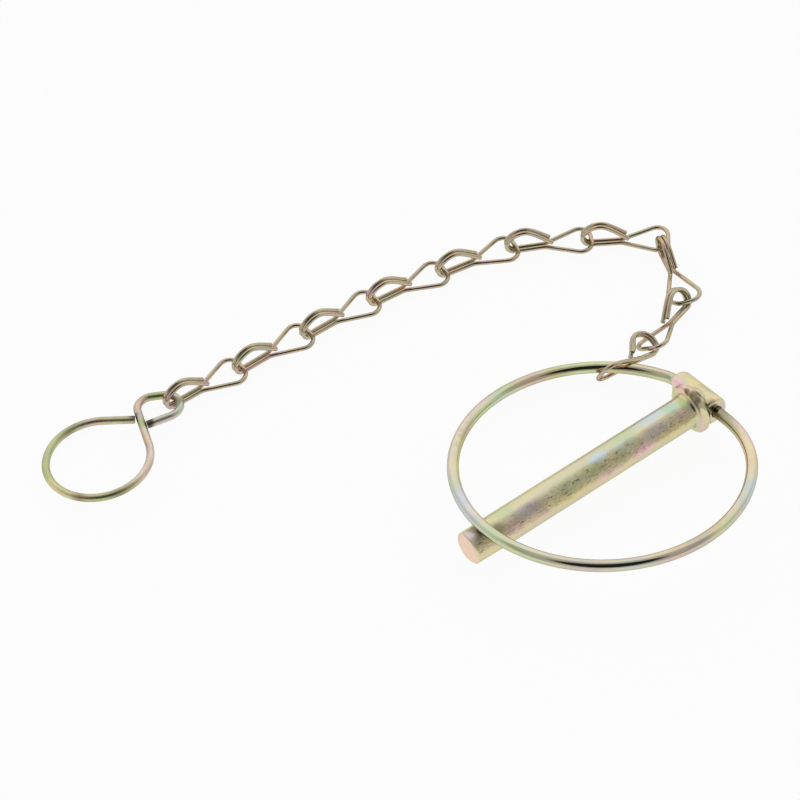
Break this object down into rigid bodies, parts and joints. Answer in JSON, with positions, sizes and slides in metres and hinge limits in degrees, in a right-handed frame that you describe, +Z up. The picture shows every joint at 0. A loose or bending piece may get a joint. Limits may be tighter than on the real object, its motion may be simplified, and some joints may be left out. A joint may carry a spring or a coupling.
{
  "type": "lynch pin",
  "caption": "Round lynch pin with a sprung wire ring on its head, and a chain of hooked wire links with a round end ring.",
  "frame": {"origin": "middle of the part's footprint on the surface that it lies on", "axes": "+X from the end ring's side towards the pin's head, with the shank's free end pointing along -X; +Y from the pin towards the chain; +Z up"},
  "size_m": [0.2024, 0.1507, 0.018],
  "materials": {
    "pin_steel": "yellow zinc plated",
    "ring_wire": "yellow zinc plated, bright",
    "chain_wire": "yellow zinc plated, bright",
    "end_ring_wire": "yellow zinc plated, bright"
  },
  "bodies": {
    "pin": {"pin": "pin_steel"},
    "spring_ring": {"spring_ring": "ring_wire"},
    "link_10": {"link_10": "chain_wire"},
    "link_09": {"link_09": "chain_wire"},
    "link_08": {"link_08": "chain_wire"},
    "link_07": {"link_07": "chain_wire"},
    "link_06": {"link_06": "chain_wire"},
    "link_05": {"link_05": "chain_wire"},
    "link_04": {"link_04": "chain_wire"},
    "link_03": {"link_03": "chain_wire"},
    "link_02": {"link_02": "chain_wire"},
    "link_01": {"link_01": "chain_wire"},
    "end_ring": {"end_ring": "end_ring_wire"}
  },
  "joints": [
    {"name": "ring_hinge", "type": "hinge", "parent": "pin", "child": "spring_ring", "pos_m": [0.06145, -0.0307, 0.00766], "axis": [0.0048, 0.9894, -0.1453], "range_deg": [0, 270]},
    {"name": "link_10_swing", "type": "hinge", "parent": "spring_ring", "child": "link_10", "pos_m": [0.05247, -0.00402, 0.00422], "axis": [-0.6965, 0.7143, -0.0683], "range_deg": [-10, 60]},
    {"name": "link_09_swing", "type": "hinge", "parent": "link_10", "child": "link_09", "pos_m": [0.0639, -0.00304, 0.00434], "axis": [0.3524, -0.7704, 0.5314], "range_deg": [-60, 35]},
    {"name": "link_08_swing", "type": "hinge", "parent": "link_09", "child": "link_08", "pos_m": [0.08431, 0.00488, 0.00342], "axis": [-0.9236, 0.369, -0.1038], "range_deg": [-30, 60]},
    {"name": "link_07_swing", "type": "hinge", "parent": "link_08", "child": "link_07", "pos_m": [0.0945, 0.02492, 0.00327], "axis": [0.9547, -0.277, 0.1083], "range_deg": [-60, 60]},
    {"name": "link_06_swing", "type": "hinge", "parent": "link_07", "child": "link_06", "pos_m": [0.0804, 0.04167, 0.00288], "axis": [-0.506, -0.8625, 0], "range_deg": [-60, 60]},
    {"name": "link_05_swing", "type": "hinge", "parent": "link_06", "child": "link_05", "pos_m": [0.06051, 0.05334, 0.00288], "axis": [0.2113, 0.9774, 0], "range_deg": [-60, 60]},
    {"name": "link_04_swing", "type": "hinge", "parent": "link_05", "child": "link_04", "pos_m": [0.03754, 0.0583, 0.00284], "axis": [-0.1357, -0.9907, 0], "range_deg": [-60, 60]},
    {"name": "link_03_swing", "type": "hinge", "parent": "link_04", "child": "link_03", "pos_m": [0.01426, 0.06149, 0.00284], "axis": [0.0523, 0.9986, 0], "range_deg": [-60, 60]},
    {"name": "link_02_swing", "type": "hinge", "parent": "link_03", "child": "link_02", "pos_m": [-0.00921, 0.06272, 0.00284], "axis": [-0.0349, -0.9994, 0], "range_deg": [-60, 60]},
    {"name": "link_01_swing", "type": "hinge", "parent": "link_02", "child": "link_01", "pos_m": [-0.0327, 0.06354, 0.00284], "axis": [0.0489, 0.9988, 0], "range_deg": [-60, 60]},
    {"name": "end_ring_swing", "type": "hinge", "parent": "link_01", "child": "end_ring", "pos_m": [-0.05487, 0.06463, 0.00341], "axis": [0.1962, -0.9749, 0.1051], "range_deg": [-60, 60]}
  ]
}
